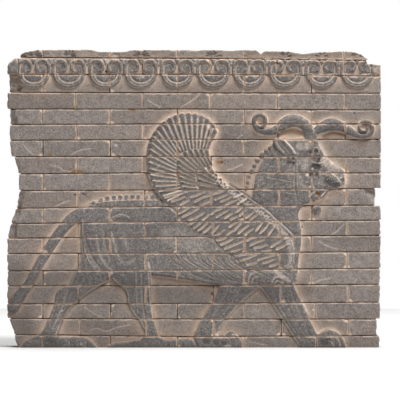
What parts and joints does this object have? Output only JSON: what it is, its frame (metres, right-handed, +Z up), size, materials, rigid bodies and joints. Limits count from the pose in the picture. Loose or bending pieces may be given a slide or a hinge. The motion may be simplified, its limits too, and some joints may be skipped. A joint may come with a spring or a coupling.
{
  "type": "winged lion relief",
  "caption": "Panel of moulded brick wall with a horned, winged lion walking in low relief under a frieze of hanging bowls and curls.",
  "frame": {"origin": "centre of the panel's box on the level surface that it stands on", "axes": "+X to the right as one looks at the carved face, -Y out of the carved face towards the viewer, +Z up"},
  "size_m": [1.87, 0.195, 1.49],
  "materials": {
    "fired_brick": "matt unglazed grey-brown fired brick, worn and dusty",
    "mortar": "matt sandy lime mortar"
  },
  "bodies": {
    "root": {"course_01_foot": "fired_brick", "course_02_paws": "fired_brick", "course_03_shins": "fired_brick", "course_04_hocks": "fired_brick", "course_05_knees": "fired_brick", "course_06_belly": "fired_brick", "course_07_flank": "fired_brick", "course_08_haunch": "fired_brick", "course_09_coverts": "fired_brick", "course_10_back": "fired_brick", "course_11_beads": "fired_brick", "course_12_muzzle": "fired_brick", "course_13_eye": "fired_brick", "course_14_ear": "fired_brick", "course_15_horns": "fired_brick", "course_16_curls": "fired_brick", "course_17_bowls": "fired_brick", "course_18_volutes": "fired_brick", "course_19_coping": "fired_brick", "mortar_bed_01": "mortar", "mortar_bed_02": "mortar", "mortar_bed_03": "mortar", "mortar_bed_04": "mortar", "mortar_bed_05": "mortar", "mortar_bed_06": "mortar", "mortar_bed_07": "mortar", "mortar_bed_08": "mortar", "mortar_bed_09": "mortar", "mortar_bed_10": "mortar", "mortar_bed_11": "mortar", "mortar_bed_12": "mortar", "mortar_bed_13": "mortar", "mortar_bed_14": "mortar", "mortar_bed_15": "mortar", "mortar_bed_16": "mortar", "mortar_bed_17": "mortar", "mortar_bed_18": "mortar"}
  },
  "joints": []
}
